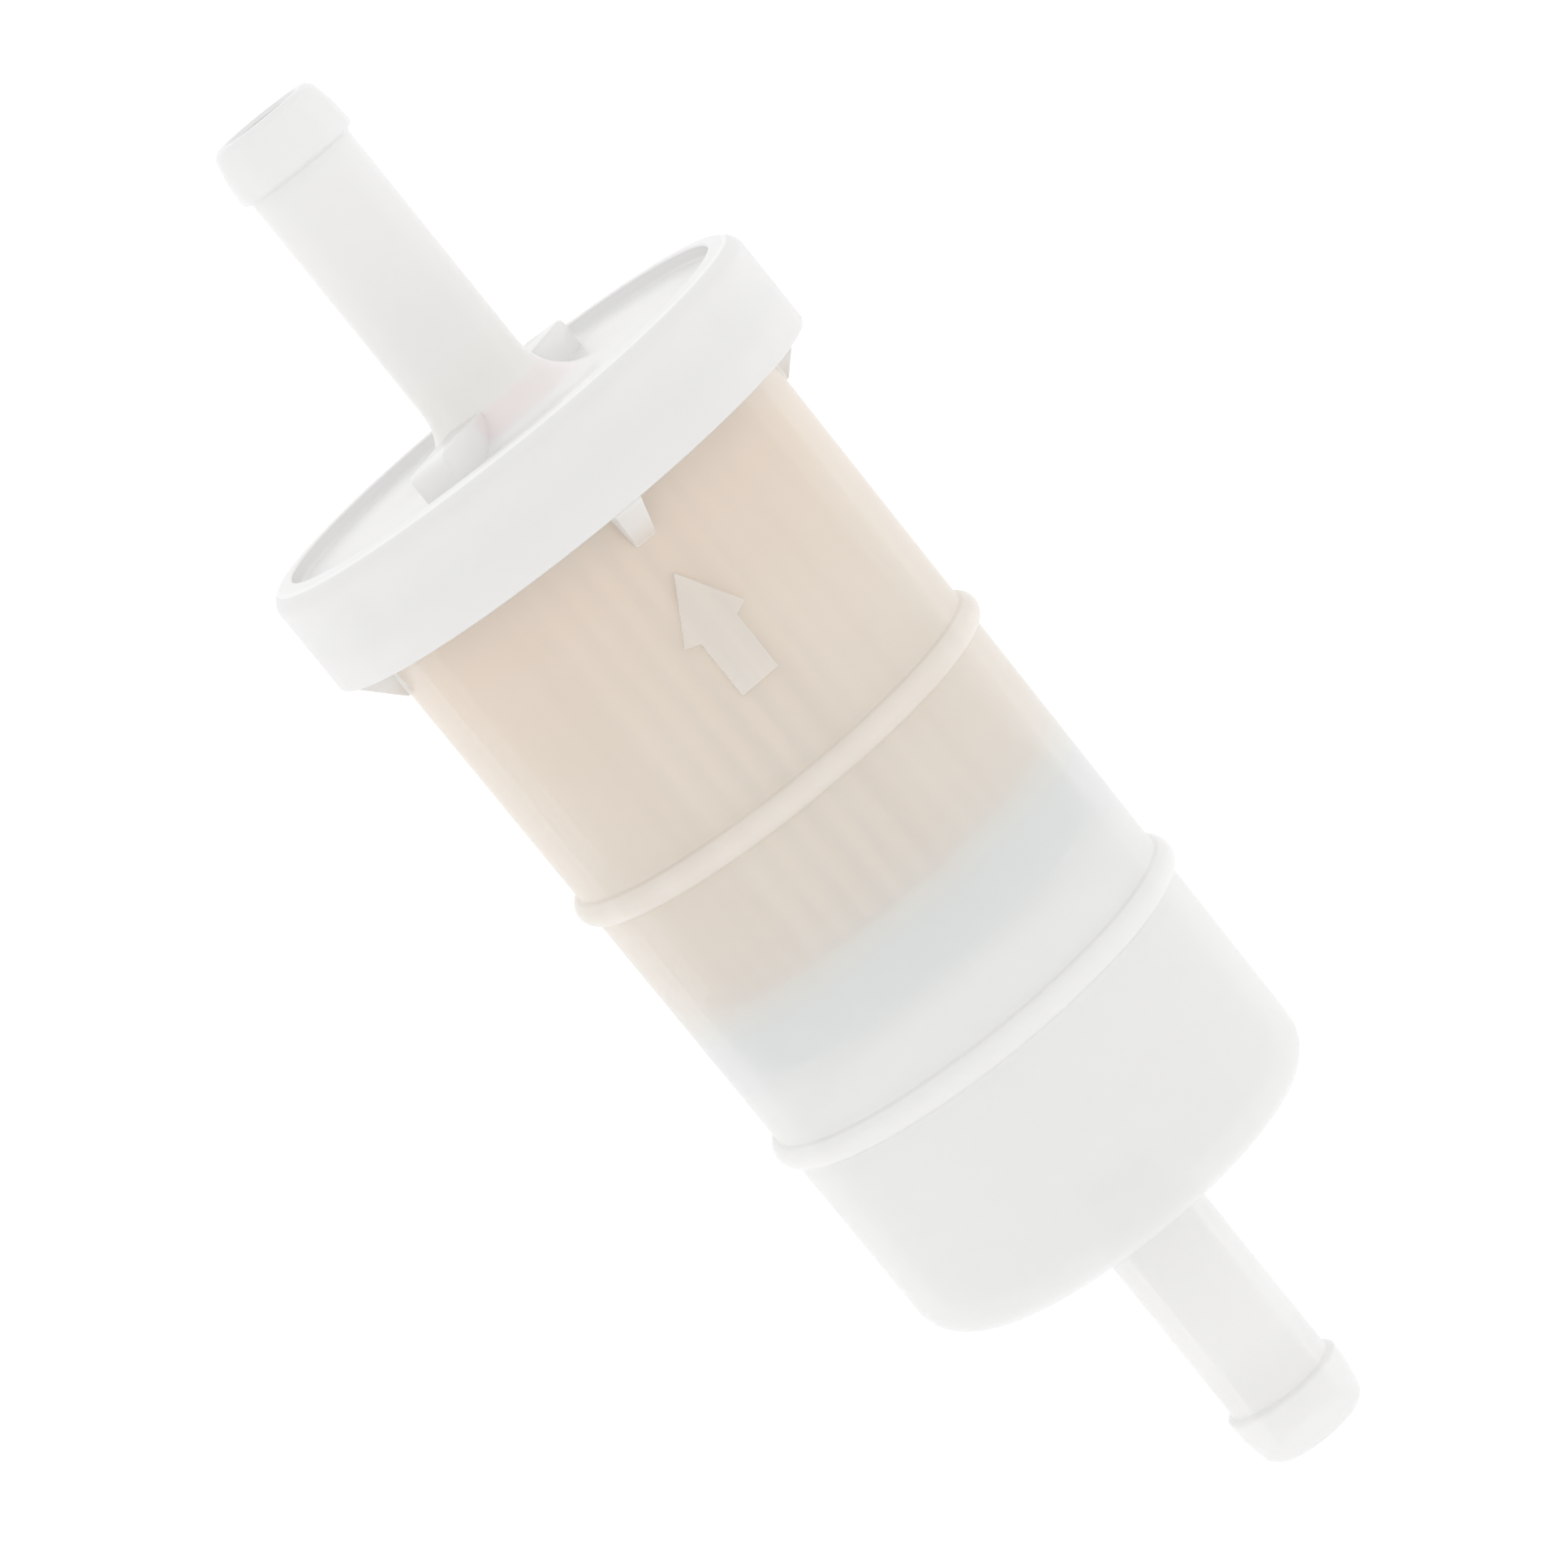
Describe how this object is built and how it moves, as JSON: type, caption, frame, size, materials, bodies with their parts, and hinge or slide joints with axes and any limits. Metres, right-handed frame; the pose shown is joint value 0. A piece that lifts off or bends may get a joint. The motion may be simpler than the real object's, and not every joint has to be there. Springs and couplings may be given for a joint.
{
  "type": "inline fuel filter",
  "caption": "Inline fuel filter: translucent cylindrical bottle with a welded cap, a barbed hose spigot at each end, locating rings and a pleated paper element inside.",
  "frame": {"origin": "on the filter's axis, midway between the two locating rings, at the middle of the band that the rubber holder grips", "axes": "+Z along the axis towards the outlet spigot and the cap, -Z towards the inlet spigot, -Y through the raised arrow"},
  "size_m": [0.039, 0.039, 0.1137],
  "materials": {
    "housing_nylon": "translucent milky natural nylon, satin gloss",
    "cap_nylon": "translucent milky natural nylon, satin gloss",
    "filter_paper": "resin-cured tan filter paper",
    "seam_adhesive": "hot-melt glue",
    "core_nylon": "moulded, matt",
    "salmon_plate": "moulded, salmon red, matt",
    "slate_plate": "moulded, grey-green, matt",
    "bond_adhesive": "cured adhesive",
    "washer_rubber": "fuel-resistant rubber"
  },
  "bodies": {
    "root": {"housing": "housing_nylon", "cap": "cap_nylon", "filter_paper": "filter_paper", "paper_seam": "seam_adhesive", "core_tube": "core_nylon", "upper_end_plate": "salmon_plate", "lower_end_plate": "slate_plate", "upper_bond": "bond_adhesive", "lower_bond": "bond_adhesive", "neck_washer": "washer_rubber"}
  },
  "joints": []
}
